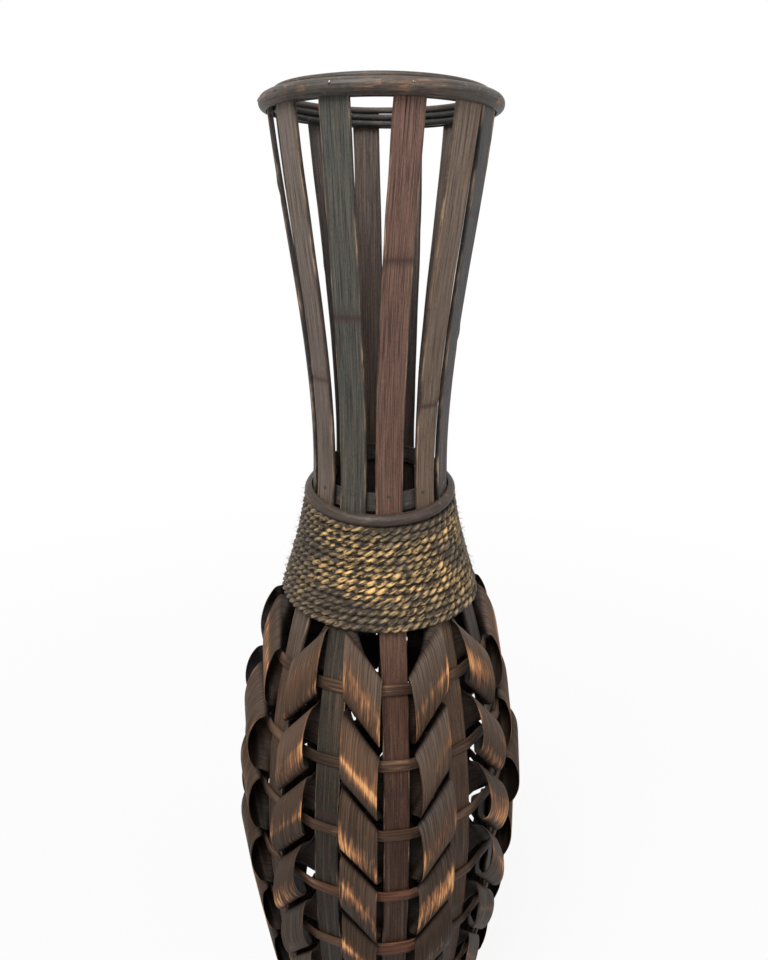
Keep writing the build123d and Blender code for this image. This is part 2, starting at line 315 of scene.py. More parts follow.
def stainedCane(name, base, worn, patch):
    # smooth bark with faint long fibres, rubbed to copper in short streaks and specks
    material, tree, shader = newMaterial(name, 0.5, **{"Specular IOR Level": 0.2})
    fibre = noise(tree, grainCoords(tree, 1100, 34), 1.0, 4.0, 0.6)
    cloud = noise(tree, objectCoords(tree), 34.0, 3.0)
    short = noise(tree, grainCoords(tree, 620, 70), 1.0, 4.0, 0.65)
    speck = noise(tree, objectCoords(tree), 260.0, 3.0)
    dark = blendColor(tree, 1.0, base, caneFinish["fibreTint"], "MULTIPLY")
    color = blendColor(tree, fadeIn(tree, fibre, 0.34, 0.62), dark, base)
    color = blendColor(tree, fadeIn(tree, speck, 0.58, 0.8, 0.4), color, caneFinish["speck"])
    rubbed = compute(tree, "MULTIPLY", fadeIn(tree, cloud, 0.5, 0.72), fadeIn(tree, short, 0.48, 0.64))
    rubbed = compute(tree, "MULTIPLY", compute(tree, "MULTIPLY", rubbed, attribute(tree, "wear")), patch)
    color = blendColor(tree, rubbed, color, worn)
    connect(tree, shader, Base_Color=color, Roughness=ramp(tree, cloud, (0.3, 0.36), (0.7, 0.55)))
    addBump(tree, shader, compute(tree, "ADD", fibre, speck), 0.4, 0.0006)
    return material


stripFinish = {"darkTint": (0.44, 0.42, 0.41), "paleTint": (1.7, 1.6, 1.55)}


def thinStrip(name, base, copper, gold):
    # split bamboo: fine parallel fibres, stain rubbed to copper and gold in streaks where wear is high; on
    # the curls this also paints a highlight along each crest
    material, tree, shader = newMaterial(name, 0.6, **{"Specular IOR Level": 0.11})
    fibre = noise(tree, grainCoords(tree, 2100, 20), 1.0, 3.0, 0.65)
    streak = noise(tree, grainCoords(tree, 900, 42), 1.0, 4.0, 0.65)
    cloud = noise(tree, grainCoords(tree, 55, 30), 1.0, 3.0)
    wear = attribute(tree, "wear")
    shade = attribute(tree, "shade", "Color")
    dark = blendColor(tree, 1.0, shade, stripFinish["darkTint"], "MULTIPLY")
    pale = blendColor(tree, 1.0, shade, stripFinish["paleTint"], "MULTIPLY")
    color = blendColor(tree, fadeIn(tree, fibre, 0.40, 0.57), dark, shade)
    color = blendColor(tree, fadeIn(tree, fibre, 0.60, 0.74, 0.8), color, pale)
    color = blendColor(tree, fadeIn(tree, cloud, 0.52, 0.78, 0.5), color, base)
    depth = compute(tree, "SUBTRACT", compute(tree, "MULTIPLY", wear, 1.35), fadeIn(tree, streak, 0.34, 0.66))
    color = blendColor(tree, compute(tree, "MULTIPLY", depth, 1.3, True), color, copper)
    bright = compute(tree, "MULTIPLY", compute(tree, "SUBTRACT", depth, 0.5), 2.0, True)
    color = blendColor(tree, bright, color, gold)
    connect(tree, shader, Base_Color=color, Roughness=ramp(tree, fibre, (0.3, 0.72), (0.7, 0.45)))
    addBump(tree, shader, compute(tree, "ADD", fibre, compute(tree, "MULTIPLY", streak, 1.5)), 0.5, 0.0006)
    return material


ropeFinish = {
    "crease": (0.005, 0.0035, 0.0025), "strand": (0.064, 0.045, 0.028), "paleCrownSheen": (0.22, 0.168, 0.112),
    "gold": (1.0, 0.62, 0.22),
}


def twistedRope():
    # seagrass strands: dark in the creases, greyed on the crowns partly as painted sheen, brushed gold in
    # patches that also paint a highlight on the crowns
    finish = ropeFinish
    material, tree, shader = newMaterial("twistedRope", 0.5, **{"Specular IOR Level": 0.25})
    fibre = noise(tree, grainCoords(tree, 1700, 240), 1.0, 4.0, 0.7)
    tuft = noise(tree, grainCoords(tree, 260, 150), 1.0, 3.0)
    place = noise(tree, objectCoords(tree, (1, 1, 1.8)), 26.0, 4.0, 0.65)
    crown = attribute(tree, "crown")
    body = blendColor(tree, fadeIn(tree, fibre, 0.38, 0.64), finish["crease"], finish["strand"])
    # painted sheen: the crowns paler
    pale = compute(tree, "MULTIPLY", crown, fadeIn(tree, tuft, 0.42, 0.64))
    body = blendColor(tree, pale, body, finish["paleCrownSheen"])
    # brushed gold in patches, gathered on the front turns' crowns as a painted highlight
    patch = compute(tree, "MULTIPLY", fadeIn(tree, place, 0.43, 0.57), attribute(tree, "gold"))
    patch = compute(tree, "MULTIPLY", patch, fadeIn(tree, tuft, 0.44, 0.58))
    patch = compute(tree, "MULTIPLY", patch, ramp(tree, fibre, (0.36, 0.2), (0.56, 1.0)))
    color = blendColor(tree, compute(tree, "MULTIPLY", patch, crown), body, finish["gold"])
    connect(tree, shader, Base_Color=color, Roughness=ramp(tree, tuft, (0.3, 0.6), (0.7, 0.34)))
    addBump(tree, shader, fibre, 0.9, 0.001)
    return material


nailFinish = {"dark": (0.03, 0.026, 0.024), "bright": (0.16, 0.135, 0.11)}


def nailMetal():
    # dull steel, darkened and specked
    material, tree, shader = newMaterial("nailMetal", 0.45, Metallic=0.85)
    speck = noise(tree, objectCoords(tree), 900.0, 3.0)
    color = ramp(tree, speck, (0.35, nailFinish["dark"]), (0.7, nailFinish["bright"]))
    connect(tree, shader, Base_Color=color, Roughness=ramp(tree, speck, (0.3, 0.6), (0.7, 0.35)))
    return material


boardFinish = {
    "dark": (0.045, 0.028, 0.018), "middle": (0.115, 0.07, 0.042), "pale": (0.17, 0.105, 0.06),
    "pore": (0.028, 0.018, 0.012),
}


def boardWood():
    # stained board: long grain along X from dark to pale, with darker pores
    finish = boardFinish
    material, tree, shader = newMaterial("boardWood", 0.6)
    grain = noise(tree, objectCoords(tree, (9, 130, 90)), 1.0, 4.0, 0.6, 0.4)
    pore = noise(tree, objectCoords(tree, (60, 900, 400)), 1.0, 3.0)
    color = ramp(tree, grain, (0.3, finish["dark"]), (0.55, finish["middle"]), (0.75, finish["pale"]))
    color = blendColor(tree, ramp(tree, pore, (0.3, 0.7), (0.5, 0.0)), color, finish["pore"])
    connect(tree, shader, Base_Color=color, Roughness=ramp(tree, grain, (0.3, 0.68), (0.7, 0.5)))
    addBump(tree, shader, compute(tree, "ADD", grain, pore), 0.35, 0.0008)
    return material


materials = {
    "slat": stainedSlat(),
    "rimCane": stainedCane("rimCane", (0.074, 0.062, 0.052), (0.36, 0.17, 0.08), 1.2),
    "strandCane": stainedCane("strandCane", (0.034, 0.034, 0.031), (0.12, 0.09, 0.07), 0.5),
    "topStrand": stainedCane("topStrand", (0.066, 0.055, 0.045), (0.24, 0.13, 0.07), 0.8),
    "collarCane": stainedCane("collarCane", (0.058, 0.041, 0.031), (0.19, 0.115, 0.08), 0.5),
    "band": stainedCane("innerBand", (0.056, 0.045, 0.038), (0.12, 0.09, 0.07), 0.4),
    "weaver": thinStrip("weaverStrip", (0.10, 0.062, 0.042), (0.18, 0.10, 0.058), (0.30, 0.16, 0.08)),
    # on the curls, the copper and gold are rubbed wear and a painted highlight along each crest
    "ribbon": thinStrip("curlRibbon", (0.078, 0.047, 0.032), (0.35, 0.15, 0.066), (0.66, 0.35, 0.14)),
    "rope": twistedRope(),
    "nail": nailMetal(),
    "board": boardWood(),
}
print("materials made:", len(materials))

slatLook = {
    "count": 12, "firstAzimuth": math.radians(8), "width": 18 * mm, "thickness": 3 * mm,
    "crown": 0.25 * mm, "unevenEdge": 0.10 * mm, "samples": 300,
    # sideways drift below the neck: full size, and the heights over which it fades in and out
    "drift": 0.4 * mm, "driftTop": 0.5, "driftFade": 0.3, "driftFoot": 0.15,
    "edgeSeed": 40, "driftSeed": 80, "wearSeed": 120, "grainShift": (0.3, 1.7),
    "jointRise": 0.45 * mm, "jointWidth": 3.5 * mm, "jointCrease": 0.6, "creaseMost": 0.85,
    # split in one slat's head, from a height up
    "crackSlat": 0, "crackAcross": -0.25,
    "crackLow": 0.716, "crackRun": 0.02, "crackWidth": 0.035, "crackDepth": 1.6 * mm,
    # bamboo joints by slat, as heights
    "joints": ((0.673, 0.33), (0.585, 0.21), (0.70, 0.31), (0.62, 0.2), (0.56, 0.29), (0.69, 0.36),
               (0.605, 0.17), (0.66, 0.27), (0.575, 0.33), (0.71, 0.22), (0.60, 0.25), (0.640, 0.31)),
    # lean of each slat's head round the rim, in degrees, gone at the height where the lean starts
    "headLean": (5.6, 8.0, -4.0, 0.0, 6.0, 6.0, 1.5, 1.0, 0.0, 0.0, 0.0, 0.5), "leanStart": 0.53,
    "leanPower": 1.6,
    # the slats, counted from 0, that lean at the collar, in degrees, gone at the shoulder
    "collarLean": {1: 3.2, 4: 4.5, 7: -4.5}, "shoulder": (0.42, 0.50),
    # the slats with another share of the full width, at the collar and at the head
    "collarWidth": {1: 0.88}, "headWidth": {1: 1.15},
    # rubbed edges and painted shade on the edges, as shares of the half width, and painted shade on the end
    # under the rim
    "wornEdge": 0.965, "wornWidth": 0.03, "wornMean": 0.3, "wornSwing": 0.8, "edgeShade": 0.6,
    "edgeShadeFrom": 0.876, "edgeShadeRun": 0.12, "headShadeRun": 3 * mm, "headShade": 0.75,
    # painted light and shade by height: the stain lighter at the head and darker down the belly, as light
    # falls off from above and the curls shade the slats
    "paintedLightHeights": (0.27, 0.37, 0.46, 0.55, 0.76),
    "paintedLightByHeight": ((0.33, 0.24, 0.16), (0.63, 0.52, 0.42), (0.84, 0.77, 0.70), (0.98, 0.95, 0.93),
              (1.32, 1.38, 1.42)),
    # stain by slat, from the one right of the front centre on towards +X
    "stains": ((0.146, 0.079, 0.058), (0.175, 0.122, 0.087), (0.060, 0.056, 0.055), (0.060, 0.046, 0.040),
               (0.080, 0.058, 0.045), (0.058, 0.046, 0.040), (0.080, 0.058, 0.046), (0.066, 0.052, 0.045),
               (0.10, 0.072, 0.055), (0.056, 0.046, 0.042), (0.145, 0.112, 0.090), (0.068, 0.066, 0.055)),
}
slatStep = fullTurn / slatLook["count"]


def slatSection():
    # rounded strip: across in half widths from -1 to 1, depth in thicknesses, outer face first
    crack, lip = slatLook["crackAcross"], slatLook["crackWidth"]
    across = np.array([-1, -0.985, -0.95, -0.88, -0.7, -0.5, crack - lip, crack, crack + lip, 0, 0.25,
                       0.5, 0.7, 0.88, 0.95, 0.985, 1, 0.985, 0.9, 0.45, 0, -0.45, -0.9, -0.985])
    depth = np.array([-0.36, -0.16, -0.05, 0, 0, 0, 0, 0, 0, 0, 0, 0, 0,
                      0, -0.05, -0.16, -0.36, -0.82, -1, -1, -1, -1, -1, -0.82])
    outer = np.arange(len(across)) < 17  # the first 17 points are the face and its edges
    return across, depth, outer


def makeSlat(k):
    # section carried up the outline at the slat's azimuth, which leans at the collar and the head
    look = slatLook
    across, depth, outer = slatSection()
    along = np.linspace(0, outlineArc[-1], look["samples"])[:, None]
    height = np.interp(along, outlineArc, outlineHeight)
    lifted = np.clip((height - look["leanStart"]) / (outlineHeight[-1] - look["leanStart"]), 0, 1)
    turned = np.clip((height - look["shoulder"][0]) / (look["shoulder"][1] - look["shoulder"][0]), 0, 1)
    collarLean, headLean = look["collarLean"].get(k, 0), look["headLean"][k]
    eased = turned * turned * (3 - 2 * turned)
    leaned = collarLean * eased + (headLean - collarLean) * lifted ** look["leanPower"]
    azimuth = look["firstAzimuth"] + slatStep * k + np.radians(leaned)
    lean, radius = leanAt(height), radiusAt(height)
    side = np.where(across < 0, 1, 0)
    edges = [wobble(along[:, 0] * 3, look["edgeSeed"] + 2 * k + s)[:, None] for s in (0, 1)]
    atCollar, atHead = look["collarWidth"].get(k, 1), look["headWidth"].get(k, 1)
    share = 1 + (atCollar - 1) * turned + (atHead - atCollar) * lifted
    half = look["width"] / 2 * share + np.where(side, edges[0], edges[1]) * look["unevenEdge"]
    drift = wobble(along[:, 0], look["driftSeed"] + k, high=3)[:, None] * look["drift"]
    drift = drift * np.clip((look["driftTop"] - height) / look["driftFade"], 0, 1)
    drift = drift * np.clip(height / look["driftFoot"], 0, 1)
    wide = look["jointWidth"]
    crease = sum(hump(height, place - 2 * wide, wide / 2) for place in look["joints"][k])
    joint = sum(hump(height, place, wide) for place in look["joints"][k])
    joint = joint - look["jointCrease"] * crease
    lift = outer * (1 - across ** 2) * look["crown"] + outer * joint * look["jointRise"]
    if k == look["crackSlat"]:
        opened = np.clip((height - look["crackLow"]) / look["crackRun"], 0, 1)
        lift = lift - opened * look["crackDepth"] * (np.abs(across - look["crackAcross"]) < 1e-6) * outer
    out = depth * look["thickness"] + lift
    sideways = across * half + drift
    plane = radius + out * np.cos(lean)
    points = np.stack([plane * np.sin(azimuth) + sideways * np.cos(azimuth),
                       -plane * np.cos(azimuth) + sideways * np.sin(azimuth),
                       height - out * np.sin(lean)], -1)
    points[0, :, 2] = 0.0
    columns = np.append(across, across[0]) * look["width"] / 2
    shift = look["grainShift"]
    grain = grainMap(columns + shift[0] * k, along + shift[1] * k)
    patchy = [wobble(along[:, 0] * 4, look["wearSeed"] + 2 * k + s, high=7) for s in (0, 1)]
    patchy = np.clip(look["wornMean"] + look["wornSwing"] * np.stack(patchy, -1), 0, 1)
    wear = hump(np.abs(across), look["wornEdge"], look["wornWidth"]) * outer
    wear = wear * np.where(side, patchy[:, :1], patchy[:, 1:])
    # painted light and shade by height: the stain brighter at the head and darker towards the foot
    levels = np.transpose(look["paintedLightByHeight"])
    tone = np.stack([np.interp(height, look["paintedLightHeights"], level) for level in levels], -1)
    # painted shade: the stain darker towards the slat's rounded edges
    dark = look["edgeShade"] * np.clip((np.abs(across) - look["edgeShadeFrom"]) / look["edgeShadeRun"], 0, 1)
    tone = tone * look["stains"][k] * (1 - dark)[:, None]
    # painted shade on the slat's end where it sits under the rim
    shadedHead = np.clip((height - outlineHeight[-1]) / look["headShadeRun"] + 1, 0, 1)
    tone = tone * (1 - look["headShade"] * shadedHead)[..., None]
    number = f"{k + 1:02d}"
    joint = np.clip(crease, 0, look["creaseMost"]) * outer
    stain = opaque(np.broadcast_to(tone, points.shape))
    return makeGrid(f"bambooSlat{number}", points, grain, "bamboo_slat", [f"slat_{number}"],
                    materials["slat"], wear=wear, joint=joint, stain=stain)


for k in range(slatLook["count"]):
    makeSlat(k)
print("slats made:", slatLook["count"])

hoopLook = {
    "samples": 360, "rimCaneHeight": 9.0 * mm, "baseCaneHeight": 11.0 * mm, "caneDepth": 4.4 * mm,
    "collarCaneHeight": 8.6 * mm, "collarCaneDepth": 4.8 * mm, "strandDiameter": 4 * mm,
    "bandHeight": 11 * mm, "waistBandHeight": 12.5 * mm, "bandThickness": 2 * mm,
    "gap": 0.2 * mm, "collarDroop": 7.5 * mm, "bandDroop": 5.0 * mm, "bandSlack": 0.1 * mm,
    # points of the half-round section, its rounded edges and the width of its flat side
    "arcPoints": 13, "flatPoints": 4, "edgeRound": 0.25 * mm, "flatShare": 0.93,
    # hand-made unevenness: size of a few waves round the hoop, and their share outwards and upwards
    "uneven": 0.4 * mm, "waves": 5, "waveSum": 2.2, "caneSwing": (0.4, 0.5), "bandSwing": 0.2,
    "strandSwing": (0.5, 0.2), "strandSides": 12, "strandFull": 1.02, "strandUneven": 0.03,
}


def hoopPath(name, seed):
    # turn, unevenness as a sum of waves, middle height and outermost reach of a CAD hoop
    low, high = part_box(name)
    turn = np.linspace(0, fullTurn, hoopLook["samples"], endpoint=False)
    phases = np.random.default_rng(seed).uniform(0, fullTurn, hoopLook["waves"])
    swing = sum(np.sin(turn * wave + phase) for wave, phase in enumerate(phases, 2))
    swing = swing / hoopLook["waveSum"] * hoopLook["uneven"]
    return turn, swing[:, None], (low.z + high.z) / 2, high.x


def caneRing(name, pieceName, height, depth, material, seed, droop=0.0):
    # half-round section carried round the slats: flat side in, arc out, leaning with the slats
    look = hoopLook
    turn, swing, middle, _ = hoopPath(name, seed)
    middle = middle - droop * np.cos(turn)[:, None]
    lean = leanAt(middle)
    flat = np.hypot(radiusAt(middle), slatLook["width"] / 2) + look["gap"]
    bow = math.atan2(2 * depth / height, 1) * 2
    arcRadius = height / 2 / math.sin(bow)
    angle = np.linspace(bow, -bow, look["arcPoints"])
    back = np.linspace(-1, 1, look["flatPoints"] + 2)[1:-1] * height / 2 * look["flatShare"]
    up = np.concatenate([arcRadius * np.sin(angle), back])
    out = np.concatenate([arcRadius * (np.cos(angle) - math.cos(bow)), 0 * back])
    out[[0, look["arcPoints"] - 1]] += look["edgeRound"]
    swingOut, swingUp = look["caneSwing"]
    out = out + swing * swingOut
    radius = flat + out * np.cos(lean) + up * np.sin(lean)
    rise = middle + up * np.cos(lean) - out * np.sin(lean) + swing * swingUp
    points = aroundAxis(radius, turn[:, None], rise)
    columns = np.linspace(0, 2 * height, points.shape[1] + 1)
    rows = np.linspace(0, fullTurn * flat.mean(), look["samples"] + 1)[:, None]
    grain = grainMap(columns, rows)
    wear = np.clip(out / depth, 0, 1) * np.ones_like(turn)[:, None]
    return makeGrid(pieceName, points, grain, "dark_cane", [name], material, loopV=True, wear=wear)


def flatBand(name, pieceName, height, seed, droop=0.0):
    # rounded flat strip carried round inside the slats, leaning with them
    look = hoopLook
    turn, swing, middle, _ = hoopPath(name, seed)
    middle = middle - droop * np.cos(turn)[:, None]
    lean = leanAt(middle)
    half = height / 2
    up = np.array([1, 0.96, 0, -0.96, -1, -1, -0.96, 0, 0.96, 1]) * half
    out = np.array([-0.2, 0, 0, 0, -0.2, -0.8, -1, -1, -1, -0.8]) * look["bandThickness"]
    inside = slatLook["thickness"] + look["gap"] + look["bandSlack"]
    flat = radiusAt(middle) - inside / np.cos(lean)
    radius = flat + out * np.cos(lean) + up * np.sin(lean) - np.abs(swing) * look["bandSwing"]
    rise = middle + up * np.cos(lean) - out * np.sin(lean)
    points = aroundAxis(radius, turn[:, None], rise)
    columns = np.linspace(0, 4 * half, points.shape[1] + 1)
    rows = np.linspace(0, fullTurn * flat.mean(), look["samples"] + 1)[:, None]
    grain = grainMap(columns, rows)
    return makeGrid(pieceName, points, grain, "inner_band", [name], materials["band"], loopV=True,
                    wear=np.ones(points.shape[:2]))


def caneStrand(name, pieceName, material, seed):
    # round strand carried round inside the rim, its thickness slightly uneven
    look = hoopLook
    turn, swing, middle, reach = hoopPath(name, seed)
    half = look["strandDiameter"] / 2
    angle = np.linspace(0, fullTurn, look["strandSides"], endpoint=False)
    thick = half * (look["strandFull"] + look["strandUneven"] * np.sin(turn * 3 + seed))[:, None]
    swingIn, swingUp = look["strandSwing"]
    radius = reach - half + thick * np.cos(angle) - np.abs(swing) * swingIn
    rise = middle + thick * np.sin(angle) + swing * swingUp
    points = aroundAxis(radius, turn[:, None], rise)
    columns = np.linspace(0, fullTurn * half, look["strandSides"] + 1)
    rows = np.linspace(0, fullTurn * reach, look["samples"] + 1)[:, None]
    grain = grainMap(columns, rows + 3.1 * seed)
    return makeGrid(pieceName, points, grain, "dark_cane", [name], material, loopV=True,
                    wear=np.ones(points.shape[:2]))


caneRing("rim_outer_ring", "rimCaneRing", hoopLook["rimCaneHeight"], hoopLook["caneDepth"],
         materials["rimCane"], 3)
caneRing("collar_ring", "collarCaneRing", hoopLook["collarCaneHeight"], hoopLook["collarCaneDepth"],
         materials["collarCane"], 4, hoopLook["collarDroop"])
caneRing("base_outer_ring", "baseCaneRing", hoopLook["baseCaneHeight"], hoopLook["caneDepth"],
         materials["rimCane"], 5)
for number, key in ((1, "topStrand"), (2, "strandCane"), (3, "strandCane")):
    caneStrand(f"rim_strand_{number}", f"rimCaneStrand{number}", materials[key], number)
flatBand("waist_inner_hoop", "waistInnerBand", hoopLook["waistBandHeight"], 6, hoopLook["bandDroop"])
flatBand("base_inner_hoop", "baseInnerBand", hoopLook["bandHeight"], 7)
print("hoops made")

rowLook = {
    "count": 6, "weaverHeight": 7.8 * mm, "weaverThickness": 1.8 * mm, "gap": 0.2 * mm, "samples": 480,
    # share of a slat's corner that a strip keeps to over its middle, and share of the full thickness
    "pressed": 0.9985, "fullShare": 0.95,
    "lap": (190, 70, 250, 130, -8, 310), "lapLength": math.radians(34), "lapRamp": 0.05, "lapDrop": 1.1 * mm,
    "sway": 0.5 * mm, "swaySeed": 200, "stainSeed": 220, "rubSeed": 240,
    # stain of the strips, their rubbed share, and how far each row turns red at the front
    "stain": (0.085, 0.052, 0.034), "rubbed": 0.45, "redder": (0.2, 0.1, 0.2, 0.8, 0.7, 0.8),
    "redTint": (0.65, -0.04, -0.15), "redFocus": 8, "stainPatch": (0.8, 0.2), "rubMean": 0.4,
}
rowHeights = []
for number in range(1, rowLook["count"] + 1):
    low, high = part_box(f"weaver_hoop_{number}")
    rowHeights.append((low.z + high.z) / 2)
rowPitch = (rowHeights[0] - rowHeights[-1]) / (rowLook["count"] - 1)


def weaverReach(row, azimuth):
    # distance from the axis of a strip pulled tight round the slats: flat on each, straight between them
    radius = float(radiusAt(row))
    away = (azimuth - slatLook["firstAzimuth"] + slatStep / 2) % slatStep - slatStep / 2
    halfSlat = math.atan2(slatLook["width"] / 2, radius)
    corner = math.hypot(radius, slatLook["width"] / 2)
    over = np.maximum(radius / np.cos(away), corner * rowLook["pressed"])
    between = corner * math.cos(slatStep / 2 - halfSlat) / np.cos(slatStep / 2 - np.abs(away))
    return np.where(np.abs(away) < halfSlat, over, between) + rowLook["gap"]


def makeWeaver(number):
    # rounded flat strip once round the slats, its two ends lapped one over the other
    look = rowLook
    row = rowHeights[number - 1]
    lean = float(leanAt(row))
    start = math.radians(look["lap"][number - 1])
    turn = np.linspace(start, start + fullTurn + look["lapLength"], look["samples"])
    lapped = np.clip((turn - start - fullTurn) / look["lapRamp"] + 1, 0, 1)
    half, thick = look["weaverHeight"] / 2, look["weaverThickness"]
    up = np.array([0.9, 1, 1, 0.9, 0, -0.9, -1, -1, -0.9, 0]) * half
    out = np.array([0, 0.2, 0.8, 1, 1.04, 1, 0.8, 0.2, 0, 0]) * thick * look["fullShare"]
    sway = wobble(turn / fullTurn, look["swaySeed"] + number, high=4)[:, None] * look["sway"]
    out = out + (lapped * thick)[:, None]
    up = up + sway - (lapped * look["lapDrop"])[:, None]
    radius = weaverReach(row, turn)[:, None] + out * math.cos(lean) + up * math.sin(lean)
    rise = row + up * math.cos(lean) - out * math.sin(lean)
    points = aroundAxis(radius, turn[:, None], rise)
    columns = np.linspace(0, 4 * half, points.shape[1] + 1)
    rows = (turn * radius.mean())[:, None] + number
    grain = grainMap(columns, rows)
    mean, swing = look["stainPatch"]
    patchy = mean + swing * wobble(turn / fullTurn * 2, look["stainSeed"] + number, high=5)[:, None, None]
    red = look["redder"][number - 1] * np.clip(np.cos(turn), 0, 1)[:, None, None] ** look["redFocus"]
    tone = np.array(look["stain"]) * patchy * (1 + red * look["redTint"]) * np.ones((1, up.shape[1], 1))
    streaky = wobble(turn / fullTurn * 4, look["rubSeed"] + number, high=6)[:, None]
    streaky = np.clip(look["rubMean"] + streaky, 0, 1)
    wear = look["rubbed"] * streaky * np.ones(tone.shape[:2])
    return makeGrid(f"weaverStrip{number}", points, grain, "weaver_strip", [f"weaver_hoop_{number}"],
                    materials["weaver"], wear=wear, shade=opaque(tone))


for number in range(1, rowLook["count"] + 1):
    makeWeaver(number)
print("weaver strips made:", rowLook["count"])

curlLook = {
    "width": 24.5 * mm, "rearShare": 1.15, "thickness": 1.0 * mm, "clearance": 0.5 * mm,
    "bulge": 13.5 * mm, "fold": 5.0 * mm,
    "tipDrop": 1.3 * mm, "room": 3.8 * mm, "run": 16.0 * mm, "gate": 1.4 * mm, "spread": 8.0 * mm,
    "frontSteps": 8, "backSteps": 3,
    "samples": 72, "columns": 11, "rearFrom": -0.1,
    # rounded edges: share of the thickness past the edge, and how the faces thin out towards it
    "rimShare": 0.25, "thinEdge": 0.6, "thinPower": 8,
    # unevenness of each curl, drawn with a limit in spreads
    "unevenBulge": 1.6 * mm, "unevenLift": 2.0 * mm, "unevenSide": 1.2 * mm, "unevenSkew": 0.08,
    "unevenMost": 1.6, "formSeed": 300, "skewSeed": 500, "rubSeed": 700,
    # stain down the front of a curl, greyed at the top by painted sheen and dark at the low end by painted
    # shade under the fold, with painted shade where it faces in and where its ends are tucked behind a slat
    "innerShade": 0.16, "litMean": 0.5, "litRate": 1.4,
    "tuckedShade": 0.4, "tuckedPlaces": (0, 0.08, 0.92, 1),
    "topShade": (0.072, 0.050, 0.037), "middleShade": (0.066, 0.040, 0.026),
    "lowShade": (0.030, 0.018, 0.011),
    # each curl's rubbed wear and painted crest highlight is stronger or weaker, higher or lower, and more
    # towards one edge, on its outer face
    "rubAndHighlightLeast": 0.5, "rubAndHighlightMost": 1.4, "rubAndHighlightShift": 0.10, "rubAndHighlightTilt": 0.55, "outerRate": 2,
    "faceEdgeRub": 0.35, "rimRub": 0.5, "rubbedFront": (0.02, 0.98),
    # mean and swing along the strip of the rubbed and highlit streaks, the rubbed edges and the stain, and
    # its tint
    "streak": (0.6, 0.5), "streakLimits": (0.05, 1.15), "edgePatch": (0.45, 0.9), "stainPatch": (0.85, 0.2),
    "tint": 0.09, "streakSeed": 330, "edgeSeed": 345, "stainSeed": 360, "tintSeed": 380,
    # change of the bulge by row, and of the tone and the rubbed and highlit share by row as painted light
    # that falls off from the top down
    "rowBulge": (-1.5 * mm, 0, 0, 0, -2.0 * mm, -4.0 * mm),
    "rowPaintedLight": (1.8, 1.55, 1.25, 0.95, 0.8, 0.78), "rowRubAndHighlight": (1.2, 1.1, 1.1, 0.95, 0.8, 0.75),
    # rubbed wear and painted highlight by place down the front of a curl, most near the crest
    "rubAndHighlightPlaces": (0.0, 0.30, 0.40, 0.46, 0.60, 0.78, 1.0),
    "rubAndHighlightShares": (0.0, 0.12, 0.34, 0.80, 0.66, 0.45, 0.0),
}


def curlEdge(look, half, draw):
    # one edge of a curl from the slat where the ribbon runs high to the next, where it runs low:
    # share of the way to the slat's middle, then lengths across, up along the slats and out from them
    high, low = rowPitch / 2 + half, rowPitch / 2 - half - look["spread"]
    tip = high - look["tipDrop"]
    nearEnd = -(rowLook["weaverHeight"] / 2 + look["room"])
    behind = -(slatLook["thickness"] + look["clearance"] + look["thickness"] / 2)
    passBy = -(slatLook["width"] / 2 + look["gate"])
    bulge, lift, side, skew = draw
    gate = np.array([(1, 0, high, behind), (1, passBy, high, behind), (1, passBy, high, behind / 2),
                     (1, passBy, (high + tip) / 2, look["fold"] / 3)])
    turn = np.linspace(0, math.pi, look["frontSteps"] + 1)
    up = (tip + nearEnd) / 2 + (tip - nearEnd) / 2 * np.cos(turn) + lift * np.sin(turn)
    out = look["fold"] + (look["bulge"] + bulge - look["fold"]) * np.sin(turn + skew * np.sin(turn))
    front = np.stack([0 * turn, half + side * np.sin(turn), up, out], -1)
    share = np.arange(1, look["backSteps"] + 1) / look["backSteps"]
    back = np.stack([0 * share, half - look["run"] * share, nearEnd - (low + nearEnd) * share,
                     look["fold"] + (behind - look["fold"]) * np.sin(math.pi / 2 * share)], -1)
    last = np.array([(-1, 0, -low, behind)])
    phase = np.concatenate([np.full(4, 0.0), turn / math.pi, np.full(len(share) + 1, 1.0)])
    return np.concatenate([gate, front, back, last]), phase


def curlPlaces(row, middle, hand, spots):
    # spots of a curl laid on the vase: up along the outline, across as an angle, mirrored by the hand
    height = row + spots[:, 2] * math.cos(float(leanAt(row)))
    radius = radiusAt(height) + spots[:, 3] * np.cos(leanAt(height))
    azimuth = middle + hand * (spots[:, 0] * slatStep / 2 + spots[:, 1] / radius)
    return onVase(height, spots[:, 3], azimuth)


def ramp3(x, first, middle, last):
    # colour that runs from first at 0 through middle at a half to last at 1
    spots = (0, 0.5, 1)
    return np.stack([np.interp(x, spots, (first[c], middle[c], last[c])) for c in range(3)], -1)


